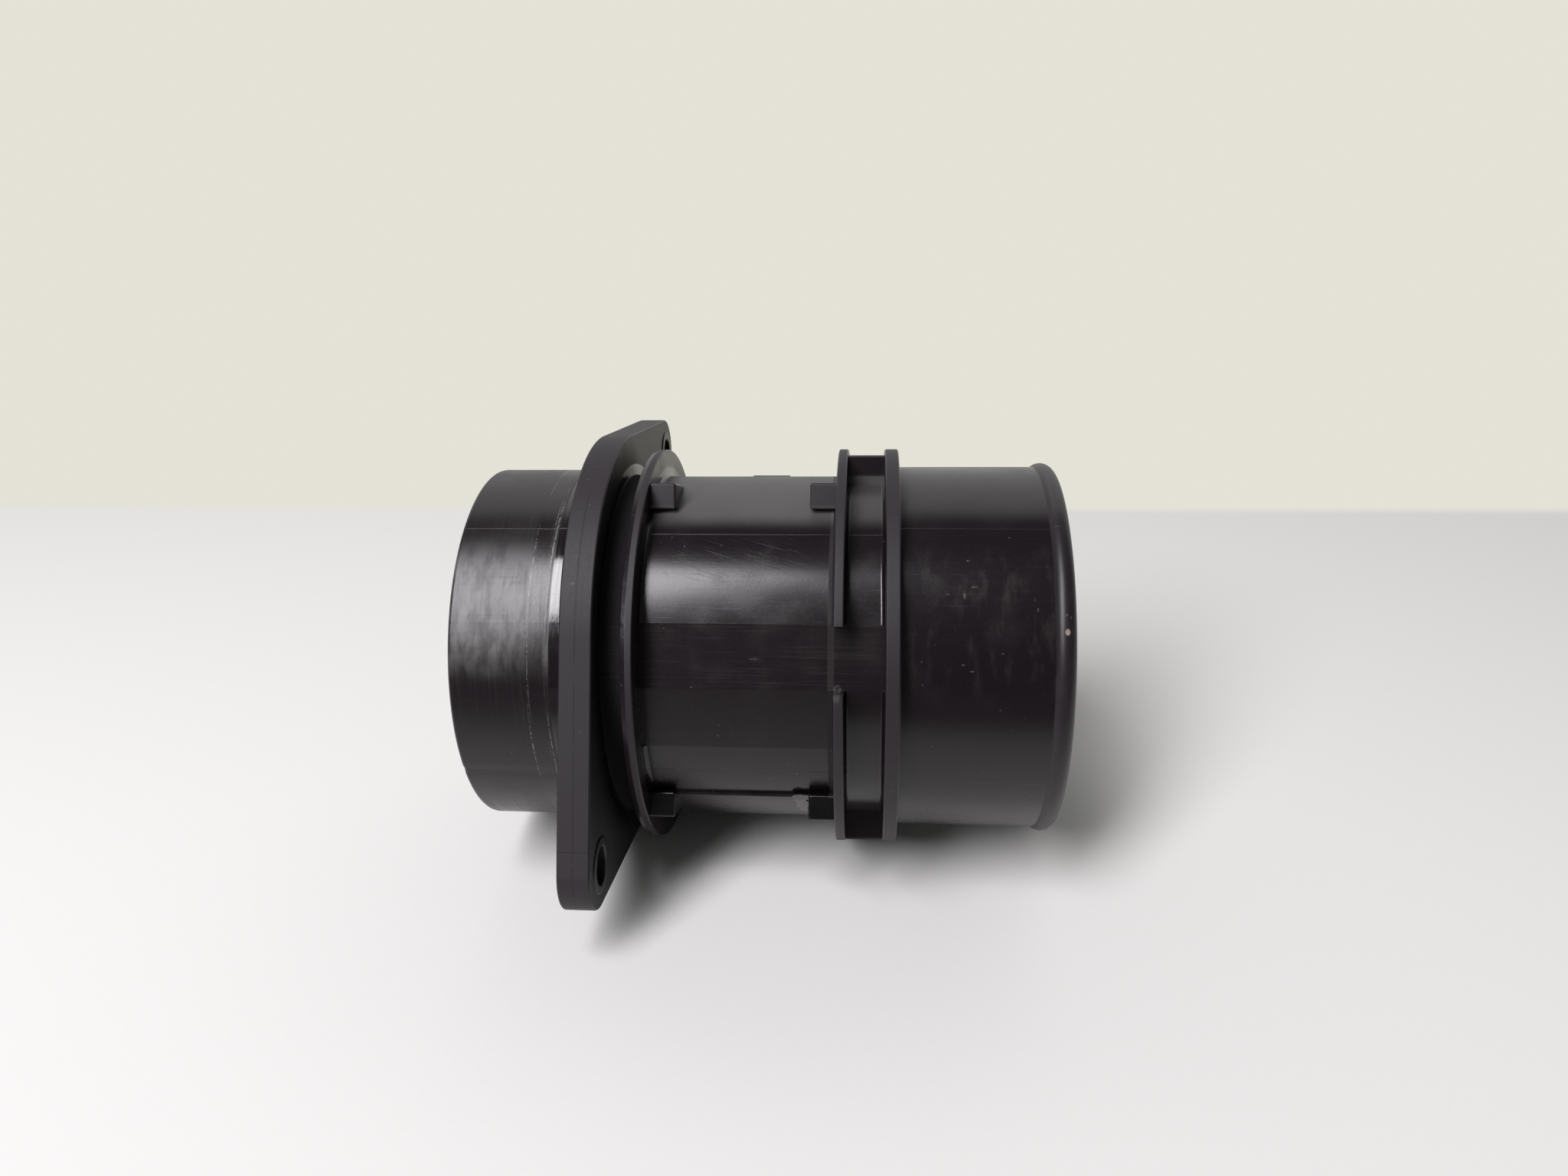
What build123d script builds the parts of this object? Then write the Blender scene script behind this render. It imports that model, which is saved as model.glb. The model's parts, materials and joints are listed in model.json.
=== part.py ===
"""Mass airflow sensor for an engine intake.

A moulded air duct carries a two-ear flange for the air box at its inlet end and a beaded
hose end at its outlet. A sensor module is screwed to a box on the duct's far side and
reaches into the air with its probe.

Frame: X runs along the duct with the air, Z is up as the meter lies on a bench, on its
ring rims and on the lower edge of the sensor housing. The origin is on the duct's axis,
in the flange face that seats on the air box.
"""
from build123d import *
from math import asin, atan2, cos, degrees, hypot, radians, sin, sqrt
import os

# ---------------------------------------------------------------- air duct
body_r = 36.0              # outside of the tube between the rings
wall = 3.0                 # tube wall
spigot_step = 1.45         # spigot over the tube
spigot_length = 22.7
spigot_wall = 2.55
spigot_edge_r = 0.8
land_length = 3.4          # slightly raised land beside the flange
land_height = 0.15
flange_thickness = 6.3
neck_length = 5.0
ring_height = 5.75         # rims of the rings over the tube
front_ring = 2.35          # ring thicknesses, inlet to outlet
clip_ring = 2.0
stop_ring = 2.8
bay_length = 36.65         # between front ring and clip ring
channel_length = 7.5       # between clip ring and stop ring
root_r = 0.9               # fillet where a ring stands on the tube
rim_edge = 0.35            # chamfer on the rims of the rings and the flange
hose_end_step = 2.0        # hose end over the tube
hose_end_length = 31.9
hose_wall = 2.8
bead_r = 2.2
bead_height = 0.8          # bead above the hose end
flare_length = 4.0         # taper from the bore to the wider outlet

# ---------------------------------------------------------------- flange
flange_over = 1.35         # round part of the flange over the rings' rims
flange_out = 1.2           # its middle from the duct's axis, out and up
flange_up = 2.0
bolt_circle_r = 53.8
bolts_out = -1.5           # middle of the bolt holes from the duct's axis, out and up
bolts_up = 1.95
ear_r = 8.3
ear_angle = 51.3           # from the flat pad round to the near ear
bolt_hole_r = 3.6
bush_wall = 1.9
bush_proud = 0.3

# ---------------------------------------------------------------- marks on the tube
pad_width = 12.3           # flat along the tube opposite the sensor
lug_length = 5.1
lug_width = 5.1
lug_drop = 10.7            # from the pad down to the lug faces
lug_inset = 2.9            # from the tube's side to a lug
web_face = 13.5
web_thickness = 2.2
field_height = 0.7         # raised bare field between the lower lugs
field_start = 52.0         # angle from the pad
field_sweep = 48.0

# ---------------------------------------------------------------- sensor box and housing
box_rise = 6.0             # seat of the sensor housing over the tube
box_width = 45.0
box_wall = 2.4
post_r = 3.6
housing_length = 38.0
housing_width = 46.0
housing_height = 11.0
housing_edge_r = 1.5
housing_corner_r = 3.0
housing_floor = 3.0
screw_pitch_x = 27.0
screw_pitch_width = 35.4
screw_r = 1.9
screw_length = 14.0
screw_clearance = 0.2      # hole through the housing floor
thread_spare = 1.5         # pilot hole beyond the screw tip
screw_head_r = 3.4
screw_head_height = 2.4
screw_head_round = 0.6
screw_drive_r = 1.5
screw_drive_depth = 1.3
well_clearance = 0.4       # round a screw head
well_floor = 4.0
chamber_length = 31.0      # electronics chamber
chamber_width = 23.6
cover_rest = 1.4           # ledge under the cover
cover_thickness = 1.6
cover_corner_r = 2.0
cover_clearance = 0.1
vent_r = 2.6
vent_recess = 0.4
vent_x = 9.0               # from the middle of the cover
seal_gap = 0.6             # from the probe stem to its seal
seal_width = 1.5
seal_thickness = 1.6
seal_margin = 0.3          # collar beyond the seal

# ---------------------------------------------------------------- probe
stem_length = 24.0
stem_width = 11.0
stem_beyond = 4.0          # probe beyond the duct axis
stem_tip_r = 1.0
stem_corner_r = 2.0
stem_clearance = 0.3
stem_back_wall = 4.0       # behind the air channel
channel_depth = 6.5        # air channel across the probe
inlet_height = 5.5
rise_width = 5.0
rise_height = 16.0
return_height = 5.0
return_length = 15.5
probe_cover_thickness = 1.2
probe_cover_lap = 2.5      # cover beyond the channel on either side
outlet_length = 4.5
carrier_width = 7.0
carrier_thickness = 0.9
carrier_x = 2.0            # from the middle of the probe
carrier_tip = 12.0
carrier_show = 0.6         # carrier above the board
film_length = 3.0
film_width = 2.4
film_thickness = 0.4
film_tip = 12.6
notch_depth = 7.0          # notch in the probe's leading edge, for the thermistor
notch_length = 7.0
notch_start = 21.0
thermistor_r = 1.1
thermistor_drop = 3.5      # bead under the notch's roof
lead_r = 0.25
lead_spacing = 1.2

# ---------------------------------------------------------------- connector
shroud_length = 27.0
shroud_depth = 13.0
shroud_wall = 1.7
shroud_corner_r = 2.0
shroud_reach = 15.8
socket_depth = 13.5
pin_count = 5
pin_pitch = 4.0
pin_width = 1.5
pin_thickness = 0.64
pin_show = 8.5             # pin in the socket
pin_inside = 3.0           # pin in the electronics chamber
pin_point = 0.25
nose_width = 9.2           # latch nose on the shroud
nose_height = 1.6
nose_length = 9.0
nose_over = 0.35           # nose beyond the socket's mouth
nose_ramp = 0.5

# ---------------------------------------------------------------- inlet grid and screen
seat_depth = 14.0          # counterbore in the inlet
insert_clearance = 0.1
screen_ring_thickness = 2.0
screen_ring_wall = 1.5
wire = 0.35
wire_pitch = 4.4
grid_depth = 8.0
grid_rim = 1.3
grid_bar = 1.0
grid_pitch = 8.0
retainer_thickness = 1.6
retainer_wall = 2.2

# ---------------------------------------------------------------- electronics
board_thickness = 1.0
board_clearance = 0.3
chip_size = 7.0
chip_thickness = 1.2
chip_x = -6.0              # places on the board: along the duct, then down
chip_down = 6.0
regulator_length = 4.0
regulator_width = 5.0
regulator_thickness = 1.0
regulator_x = 6.0
regulator_down = 6.0
capacitor_length = 2.0
capacitor_width = 1.25
capacitor_height = 1.1
capacitor_pitch = 5.0
capacitor_count = 4
capacitor_x = 11.5
resistor_length = 1.6
resistor_width = 0.8
resistor_height = 0.5
resistor_pitch = 2.5
resistor_count = 6
resistor_x = -1.25
resistor_down = -4.6
strap_width = 1.1
strap_thickness = 0.35
strap_foot = 1.6

# ---------------------------------------------------------------- stations along the duct
neck_start = flange_thickness
front_ring_start = neck_start + neck_length
bay_start = front_ring_start + front_ring
bay_end = bay_start + bay_length
channel_start = bay_end + clip_ring
channel_end = channel_start + channel_length
hose_start = channel_end + stop_ring
hose_finish = hose_start + hose_end_length
module_x = (bay_start + bay_end) / 2
seat_end = seat_depth - spigot_length

spigot_r = body_r + spigot_step
ring_r = body_r + ring_height
hose_end_r = body_r + hose_end_step
box_height = body_r + box_rise
bore_r = body_r - wall
seat_r = spigot_r - spigot_wall
outlet_bore_r = hose_end_r - hose_wall
insert_r = seat_r - insert_clearance
screen_start = seat_end - screen_ring_thickness
grid_start = screen_start - grid_depth
retainer_start = grid_start - retainer_thickness
screen_bore_r = insert_r - screen_ring_wall
grid_bore_r = insert_r - grid_rim
pad_height = sqrt(body_r**2 - (pad_width / 2) ** 2)
housing_top = box_height + housing_height
floor_height = box_height + housing_floor
pin_height = box_height + housing_height / 2
shroud_start = housing_width / 2
shroud_end = shroud_start + shroud_reach
bush_r = bolt_hole_r + bush_wall
well_r = screw_head_r + well_clearance
seat_height = box_height + well_floor
thread_depth = screw_length - well_floor
chamber_side = chamber_width / 2
cover_start = housing_top - cover_thickness
cover_length = chamber_length + 2 * cover_rest
cover_width = chamber_width + 2 * cover_rest
socket_end = shroud_end - socket_depth
pin_start = chamber_side - pin_inside
pin_end = socket_end + pin_show
board_top = floor_height + board_thickness

probe_front = module_x - stem_length / 2
channel_back = module_x + stem_length / 2 - stem_back_wall
channel_top = stem_width / 2 - probe_cover_thickness
blade_up = channel_top - channel_depth / 2
probe_cover_height = rise_height + 2 * probe_cover_lap
probe_cover_length = stem_length - stem_corner_r
notch_end = notch_start + notch_length
bead_out = notch_end - thermistor_drop
lead_x = probe_front + notch_depth / 2

# The lying angle brings the rings' rims and the rounded lower edge of the housing level.
edge_out = housing_top - housing_edge_r
edge_side = housing_width / 2 - housing_edge_r
edge_bearing = degrees(atan2(edge_side, edge_out))
lie_angle = degrees(asin((ring_r - housing_edge_r) / hypot(edge_out, edge_side))) - edge_bearing
out_dir = (0, cos(radians(lie_angle)), -sin(radians(lie_angle)))
up_dir = (0, sin(radians(lie_angle)), cos(radians(lie_angle)))


def across(x):
    """Plane square to the duct at x. Its x runs out towards the sensor, its y up."""
    return Plane(origin=(x, 0, 0), x_dir=out_dir, z_dir=(1, 0, 0))


def facing_out(height):
    """Plane facing out at a height over the axis. Its x runs along the duct, its y down."""
    return Plane(origin=Vector(*out_dir) * height, x_dir=(1, 0, 0), z_dir=out_dir)


def facing_up(height):
    """Plane facing up at a height over the axis. Its x runs along the duct, its y out."""
    return Plane(origin=Vector(*up_dir) * height, x_dir=(1, 0, 0), z_dir=up_dir)


def screw_circles(radius):
    """A circle at each sensor screw, drawn in the current sketch."""
    with Locations((module_x, 0)):
        with GridLocations(screw_pitch_x, screw_pitch_width, 2, 2):
            Circle(radius)


def ear_circles(radius):
    """A circle at each ear of the flange, drawn in the current sketch."""
    with Locations((bolts_out, bolts_up)):
        with PolarLocations(bolt_circle_r, 2, start_angle=ear_angle):
            Circle(radius)


def stem_outline(gap):
    """The probe stem's section, grown by a gap."""
    with Locations((module_x, 0)):
        RectangleRounded(stem_length + 2 * gap, stem_width + 2 * gap, stem_corner_r + gap)


def stem_ring(gap, width):
    """A frame round the probe stem, a gap off it."""
    stem_outline(gap + width)
    with Locations((module_x, 0)):
        RectangleRounded(
            stem_length + 2 * gap,
            stem_width + 2 * gap,
            stem_corner_r + gap,
            mode=Mode.SUBTRACT,
        )


def pin_sections():
    """The five blade pins' sections."""
    with Locations((module_x, pin_height)):
        with GridLocations(pin_pitch, 1, pin_count, 1):
            Rectangle(pin_width, pin_thickness)


def lead_circles():
    """The two thermistor leads' sections."""
    with Locations((lead_x, 0)):
        with GridLocations(1, lead_spacing, 1, 2):
            Circle(lead_r)


def carrier_section():
    """The sensor carrier's section."""
    with Locations((module_x + carrier_x, -blade_up)):
        Rectangle(carrier_width, carrier_thickness)


# ================================================================ duct body
bead_crest_r = hose_end_r + bead_height
bead_centre_r = bead_crest_r - bead_r
bead_x = hose_finish - bead_r
bead_start = bead_x - sqrt(bead_r**2 - (bead_r - bead_height) ** 2)

with BuildPart() as duct_body:
    with BuildSketch(Plane.XZ):
        with BuildLine():
            Polyline(
                (-spigot_length, 0),
                (-spigot_length, spigot_r),
                (-land_length - land_height, spigot_r),
                (-land_length, spigot_r + land_height),
                (neck_start, spigot_r + land_height),
                (neck_start, body_r),
                (front_ring_start, body_r),
                (front_ring_start, ring_r),
                (bay_start, ring_r),
                (bay_start, body_r),
                (bay_end, body_r),
                (bay_end, ring_r),
                (channel_start, ring_r),
                (channel_start, body_r),
                (channel_end, body_r),
                (channel_end, ring_r),
                (hose_start, ring_r),
                (hose_start, hose_end_r),
                (bead_start, hose_end_r),
            )
            ThreePointArc(
                (bead_start, hose_end_r),
                (bead_x, bead_crest_r),
                (hose_finish, bead_centre_r),
            )
            Polyline(
                (hose_finish, bead_centre_r),
                (hose_finish, 0),
                (-spigot_length, 0),
            )
        make_face()
        fillet(vertices().filter_by_position(Axis.Y, body_r, body_r), root_r)
        fillet(vertices().group_by(Axis.X)[0].sort_by(Axis.Y)[-1], spigot_edge_r)
        chamfer(vertices().filter_by_position(Axis.Y, ring_r, ring_r), rim_edge)
    revolve(axis=Axis.X)

    with BuildSketch(across(0)):
        with Locations((flange_out, flange_up)):
            Circle(ring_r + flange_over)
        ear_circles(ear_r)
        make_hull()
    extrude(amount=flange_thickness)
    for flange_face in faces().filter_by(Axis.X).filter_by_position(Axis.X, 0, flange_thickness):
        chamfer(flange_face.outer_wire().edges(), rim_edge)

    with BuildSketch(across(0)):
        ear_circles(bush_r)
    extrude(amount=flange_thickness, mode=Mode.SUBTRACT)

    # flat pad, cut along the bay, through the clip ring and up to the stop ring
    with BuildSketch(across(bay_start)):
        with Locations((-pad_height - body_r / 2, 0)):
            Rectangle(body_r, pad_width)
    extrude(amount=channel_end - bay_start, mode=Mode.SUBTRACT)

    # a second flat in the bay, edge to edge with the pad on its lower side
    flat_turn = 2 * degrees(asin(pad_width / 2 / body_r))
    with BuildSketch(across(bay_start)):
        with PolarLocations(pad_height + body_r / 2, 1, start_angle=180 + flat_turn):
            Rectangle(body_r, pad_width + 2 * root_r)
    extrude(amount=bay_length, mode=Mode.SUBTRACT)

    # four lugs, two against each ring
    lug_side = body_r - lug_inset
    lug_face = pad_height - lug_drop
    lug_foot = sqrt(body_r**2 - lug_side**2) - wall
    with BuildSketch(facing_out(-lug_face)):
        with Locations((module_x, 0)):
            with GridLocations(bay_length - lug_length, 2 * lug_side - lug_width, 2, 2):
                Rectangle(lug_length, lug_width)
    extrude(amount=lug_face - lug_foot)

    # webs that close the channel on both sides
    with BuildSketch(across(channel_start)):
        with Locations((-web_face + web_thickness / 2, 0)):
            Rectangle(web_thickness, 2 * ring_r)
        Circle(ring_r, mode=Mode.INTERSECT)
    extrude(amount=channel_length)

    # raised field between the lower lugs
    field_r = body_r + field_height
    with BuildSketch(across(bay_start + lug_length)):
        with BuildLine():
            field_arc = CenterArc((0, 0), field_r, 180 + field_start, field_sweep)
            Polyline(field_arc @ 0, (0, 0), field_arc @ 1)
        make_face()
    extrude(amount=bay_length - 2 * lug_length)

    # box that carries the sensor housing
    box_start = sqrt(bore_r**2 - (box_width / 2) ** 2)
    with BuildSketch(facing_out(box_start)):
        with Locations((module_x, 0)):
            Rectangle(bay_length, box_width)
            Rectangle(bay_length - 2 * box_wall, box_width - 2 * box_wall, mode=Mode.SUBTRACT)
        stem_outline(seal_gap + seal_width + seal_margin)
        screw_circles(post_r)
    extrude(amount=box_height - box_start)

    with BuildSketch(facing_out(0)):
        stem_outline(stem_clearance)
    extrude(amount=box_height, mode=Mode.SUBTRACT)

    with BuildSketch(facing_out(box_height)):
        screw_circles(screw_r)
    extrude(amount=-thread_depth - thread_spare, mode=Mode.SUBTRACT)

    # bore: counterbore for the grid, throat, and flare to the outlet
    with BuildSketch(Plane.XZ):
        with BuildLine():
            Polyline(
                (-spigot_length, 0),
                (-spigot_length, seat_r),
                (seat_end, seat_r),
                (seat_end, bore_r),
                (hose_start, bore_r),
                (hose_start + flare_length, outlet_bore_r),
                (hose_finish, outlet_bore_r),
                (hose_finish, 0),
                close=True,
            )
        make_face()
    revolve(axis=Axis.X, mode=Mode.SUBTRACT)


# ================================================================ flange bushes
with BuildPart() as flange_bushes:
    with BuildSketch(across(0)):
        ear_circles(bush_r)
    extrude(amount=flange_thickness + bush_proud)
    with BuildSketch(across(0)):
        ear_circles(bolt_hole_r)
    extrude(amount=flange_thickness + bush_proud, mode=Mode.SUBTRACT)


# ================================================================ flow screen and inlet grid
wire_plane = (screen_start + seat_end) / 2
wire_count = 2 * int(screen_bore_r / wire_pitch) + 1
grid_bars = 2 * int(grid_bore_r / grid_pitch)

with BuildPart() as screen_ring:
    with BuildSketch(across(screen_start)):
        Circle(insert_r)
        Circle(screen_bore_r, mode=Mode.SUBTRACT)
    extrude(amount=screen_ring_thickness)

with BuildPart() as screen_weft_wires:
    with BuildSketch(across(wire_plane)):
        with GridLocations(1, wire_pitch, 1, wire_count):
            Rectangle(2 * insert_r, wire)
        Circle(screen_bore_r, mode=Mode.INTERSECT)
    extrude(amount=wire)

with BuildPart() as screen_warp_wires:
    with BuildSketch(across(wire_plane)):
        with GridLocations(wire_pitch, 1, wire_count, 1):
            Rectangle(wire, 2 * insert_r)
        Circle(screen_bore_r, mode=Mode.INTERSECT)
    extrude(amount=-wire)

with BuildPart() as inlet_grid:
    with BuildSketch(across(grid_start)):
        with GridLocations(1, grid_pitch, 1, grid_bars):
            Rectangle(2 * insert_r, grid_bar)
        with GridLocations(grid_pitch, 1, grid_bars, 1):
            Rectangle(grid_bar, 2 * insert_r)
        Circle(insert_r, mode=Mode.INTERSECT)
        with BuildSketch(across(grid_start), mode=Mode.PRIVATE) as rim:
            Circle(insert_r)
            Circle(grid_bore_r, mode=Mode.SUBTRACT)
        add(rim.sketch_local)
    extrude(amount=grid_depth)

with BuildPart() as grid_retainer:
    with BuildSketch(across(retainer_start)):
        Circle(seat_r)
        Circle(seat_r - retainer_wall, mode=Mode.SUBTRACT)
    extrude(amount=retainer_thickness)


# ================================================================ sensor housing
with BuildPart() as sensor_housing:
    with BuildSketch(facing_out(box_height)):
        with Locations((module_x, 0)):
            RectangleRounded(housing_length, housing_width, housing_corner_r)
    extrude(amount=housing_height)
    fillet(faces().sort_by(Axis((0, 0, 0), out_dir))[-1].edges(), housing_edge_r)

    # connector shroud, rooted in the block's side, with its latch nose
    with BuildSketch(facing_up(shroud_start)):
        with Locations((module_x, pin_height)):
            RectangleRounded(shroud_length, shroud_depth, shroud_corner_r)
    extrude(amount=shroud_reach)
    with BuildSketch(facing_up(shroud_start)):
        with Locations((module_x, pin_height)):
            Rectangle(shroud_length - 2 * shroud_corner_r, housing_height - 2 * housing_edge_r)
    extrude(amount=-housing_edge_r)
    with BuildSketch(across(module_x - nose_width / 2)):
        with Locations((pin_height - shroud_depth / 2 - nose_height, shroud_end + nose_over)):
            Rectangle(nose_height + shroud_wall, nose_length, align=(Align.MIN, Align.MAX))
        chamfer(vertices().group_by(Axis.X)[0], nose_ramp)
    extrude(amount=nose_width)

    # probe stem
    with BuildSketch(facing_out(box_height)):
        stem_outline(0)
    extrude(amount=-box_height - stem_beyond)
    fillet(faces().sort_by(Axis((0, 0, 0), out_dir))[0].edges(), stem_tip_r)

    # electronics chamber and the ledge of its cover
    with BuildSketch(facing_out(floor_height)):
        with Locations((module_x, 0)):
            Rectangle(chamber_length, chamber_width)
    extrude(amount=housing_height, mode=Mode.SUBTRACT)
    with BuildSketch(facing_out(cover_start)):
        with Locations((module_x, 0)):
            RectangleRounded(cover_length, cover_width, cover_corner_r)
    extrude(amount=housing_height, mode=Mode.SUBTRACT)

    # screw wells and the holes in their floors
    with BuildSketch(facing_out(seat_height)):
        screw_circles(well_r)
    extrude(amount=housing_height, mode=Mode.SUBTRACT)
    with BuildSketch(facing_out(box_height)):
        screw_circles(screw_r + screw_clearance)
    extrude(amount=well_floor, mode=Mode.SUBTRACT)

    # groove for the seal
    with BuildSketch(facing_out(box_height)):
        stem_ring(seal_gap, seal_width)
    extrude(amount=seal_thickness, mode=Mode.SUBTRACT)

    # socket for the plug, and the slots its pins are moulded into
    with BuildSketch(facing_up(socket_end)):
        with Locations((module_x, pin_height)):
            RectangleRounded(
                shroud_length - 2 * shroud_wall,
                shroud_depth - 2 * shroud_wall,
                shroud_corner_r / 2,
            )
    extrude(amount=shroud_reach, mode=Mode.SUBTRACT)
    with BuildSketch(facing_up(chamber_side)):
        pin_sections()
    extrude(amount=socket_end - chamber_side, mode=Mode.SUBTRACT)

    # air channel in the probe: in through the leading edge, out and forward again
    with BuildSketch(facing_up(channel_top)):
        with Locations((probe_front, 0)):
            Rectangle(channel_back - probe_front, inlet_height, align=Align.MIN)
        with Locations((channel_back, 0)):
            Rectangle(rise_width, rise_height, align=(Align.MAX, Align.MIN))
        with Locations((channel_back, rise_height)):
            Rectangle(return_length, return_height, align=Align.MAX)
    extrude(amount=-channel_depth, mode=Mode.SUBTRACT)

    # recess for the channel's cover
    with BuildSketch(facing_up(channel_top)):
        with Locations((probe_front, -probe_cover_lap)):
            Rectangle(probe_cover_length, probe_cover_height, align=Align.MIN)
    extrude(amount=probe_cover_thickness, mode=Mode.SUBTRACT)

    # slot for the sensor carrier
    with BuildSketch(facing_out(rise_height)):
        carrier_section()
    extrude(amount=floor_height - rise_height, mode=Mode.SUBTRACT)

    # notch for the thermistor, and the bores of its leads
    with BuildSketch(facing_out(notch_start)):
        with Locations((probe_front, 0)):
            Rectangle(notch_depth, stem_width, align=(Align.MIN, Align.CENTER))
    extrude(amount=notch_length, mode=Mode.SUBTRACT)
    with BuildSketch(facing_out(notch_end)):
        lead_circles()
    extrude(amount=floor_height - notch_end, mode=Mode.SUBTRACT)


# ================================================================ cover, vent, seal and screws
with BuildPart() as housing_cover:
    with BuildSketch(facing_out(cover_start)):
        with Locations((module_x, 0)):
            RectangleRounded(
                cover_length - 2 * cover_clearance,
                cover_width - 2 * cover_clearance,
                cover_corner_r - cover_clearance,
            )
        with Locations((module_x + vent_x, 0)):
            Circle(vent_r, mode=Mode.SUBTRACT)
    extrude(amount=cover_thickness)

with BuildPart() as vent_plug:
    with BuildSketch(facing_out(cover_start)):
        with Locations((module_x + vent_x, 0)):
            Circle(vent_r)
    extrude(amount=cover_thickness - vent_recess)

with BuildPart() as housing_seal:
    with BuildSketch(facing_out(box_height)):
        stem_ring(seal_gap, seal_width)
    extrude(amount=seal_thickness)

with BuildPart() as sensor_screws:
    with BuildSketch(facing_out(seat_height)):
        screw_circles(screw_head_r)
    extrude(amount=screw_head_height)
    fillet(faces().group_by(Axis((0, 0, 0), out_dir))[-1].edges(), screw_head_round)
    with BuildSketch(facing_out(seat_height)):
        screw_circles(screw_r)
    extrude(amount=-screw_length)
    with BuildSketch(facing_out(seat_height + screw_head_height)):
        with Locations((module_x, 0)):
            with GridLocations(screw_pitch_x, screw_pitch_width, 2, 2):
                RegularPolygon(screw_drive_r, 6)
    extrude(amount=-screw_drive_depth, mode=Mode.SUBTRACT)


# ================================================================ connector pins
with BuildPart() as connector_pins:
    with BuildSketch(facing_up(pin_start)):
        pin_sections()
    extrude(amount=pin_end - pin_start)
    chamfer(faces().group_by(Axis((0, 0, 0), up_dir))[-1].edges(), pin_point)


# ================================================================ circuit board and its parts
with BuildPart() as circuit_board:
    with BuildSketch(facing_out(floor_height)):
        with Locations((module_x, 0)):
            Rectangle(chamber_length - 2 * board_clearance, chamber_width - 2 * board_clearance)
    extrude(amount=board_thickness)
    with BuildSketch(facing_out(floor_height)):
        carrier_section()
        lead_circles()
    extrude(amount=board_thickness, mode=Mode.SUBTRACT)

with BuildPart() as signal_chip:
    with BuildSketch(facing_out(board_top)):
        with Locations((module_x + chip_x, chip_down)):
            Rectangle(chip_size, chip_size)
    extrude(amount=chip_thickness)

with BuildPart() as supply_regulator:
    with BuildSketch(facing_out(board_top)):
        with Locations((module_x + regulator_x, regulator_down)):
            Rectangle(regulator_length, regulator_width)
    extrude(amount=regulator_thickness)

with BuildPart() as board_capacitors:
    with BuildSketch(facing_out(board_top)):
        with Locations((module_x + capacitor_x, 0)):
            with GridLocations(1, capacitor_pitch, 1, capacitor_count):
                Rectangle(capacitor_length, capacitor_width)
    extrude(amount=capacitor_height)

with BuildPart() as board_resistors:
    with BuildSketch(facing_out(board_top)):
        with Locations((module_x + resistor_x, resistor_down)):
            with GridLocations(resistor_pitch, 1, resistor_count, 1):
                Rectangle(resistor_width, resistor_length)
    extrude(amount=resistor_height)

with BuildPart() as pin_straps:
    with BuildSketch(facing_out(board_top)):
        with Locations((module_x, -pin_start)):
            with GridLocations(pin_pitch, 1, pin_count, 1):
                Rectangle(strap_width, strap_foot, align=(Align.CENTER, Align.MIN))
    extrude(amount=strap_thickness)
    with BuildSketch(facing_out(board_top)):
        with Locations((module_x, -pin_start)):
            with GridLocations(pin_pitch, 1, pin_count, 1):
                Rectangle(strap_width, strap_thickness, align=(Align.CENTER, Align.MAX))
    extrude(amount=pin_height - pin_thickness / 2 - board_top)


# ================================================================ hot-film element
with BuildPart() as sensor_carrier:
    with BuildSketch(facing_out(carrier_tip)):
        carrier_section()
    extrude(amount=board_top + carrier_show - carrier_tip)

with BuildPart() as hot_film_chip:
    with BuildSketch(facing_up(blade_up + carrier_thickness / 2)):
        with Locations((module_x + carrier_x, film_tip)):
            Rectangle(film_width, film_length, align=(Align.CENTER, Align.MIN))
    extrude(amount=film_thickness)

with BuildPart() as probe_duct_cover:
    with BuildSketch(facing_out(-probe_cover_lap)):
        stem_outline(0)
        with Locations((probe_front, -stem_width / 2)):
            Rectangle(
                probe_cover_length,
                probe_cover_thickness,
                align=Align.MIN,
                mode=Mode.INTERSECT,
            )
    extrude(amount=probe_cover_height)
    with BuildSketch(facing_up(channel_top)):
        with Locations((channel_back - return_length, rise_height)):
            Rectangle(outlet_length, return_height, align=(Align.MIN, Align.MAX))
    extrude(amount=probe_cover_thickness, mode=Mode.SUBTRACT)


# ================================================================ thermistor
bead_centre = Vector(lead_x, 0, 0) + Vector(*out_dir) * bead_out

with BuildPart() as thermistor_bead:
    with Locations(bead_centre):
        Sphere(thermistor_r)

with BuildPart() as thermistor_leads:
    with BuildSketch(facing_out(bead_out)):
        lead_circles()
    extrude(amount=board_top + carrier_show - bead_out)
    with Locations(bead_centre):
        Sphere(thermistor_r, mode=Mode.SUBTRACT)


# ================================================================ files
os.makedirs("parts", exist_ok=True)
duct_body.part.label = "duct_body"
export_step(duct_body.part, "parts/duct_body.step")
flange_bushes.part.label = "flange_bushes"
export_step(flange_bushes.part, "parts/flange_bushes.step")
inlet_grid.part.label = "inlet_grid"
export_step(inlet_grid.part, "parts/inlet_grid.step")
screen_ring.part.label = "screen_ring"
export_step(screen_ring.part, "parts/screen_ring.step")
screen_weft_wires.part.label = "screen_weft_wires"
export_step(screen_weft_wires.part, "parts/screen_weft_wires.step")
screen_warp_wires.part.label = "screen_warp_wires"
export_step(screen_warp_wires.part, "parts/screen_warp_wires.step")
grid_retainer.part.label = "grid_retainer"
export_step(grid_retainer.part, "parts/grid_retainer.step")
sensor_housing.part.label = "sensor_housing"
export_step(sensor_housing.part, "parts/sensor_housing.step")
housing_cover.part.label = "housing_cover"
export_step(housing_cover.part, "parts/housing_cover.step")
housing_seal.part.label = "housing_seal"
export_step(housing_seal.part, "parts/housing_seal.step")
sensor_screws.part.label = "sensor_screws"
export_step(sensor_screws.part, "parts/sensor_screws.step")
connector_pins.part.label = "connector_pins"
export_step(connector_pins.part, "parts/connector_pins.step")
circuit_board.part.label = "circuit_board"
export_step(circuit_board.part, "parts/circuit_board.step")
signal_chip.part.label = "signal_chip"
export_step(signal_chip.part, "parts/signal_chip.step")
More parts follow.
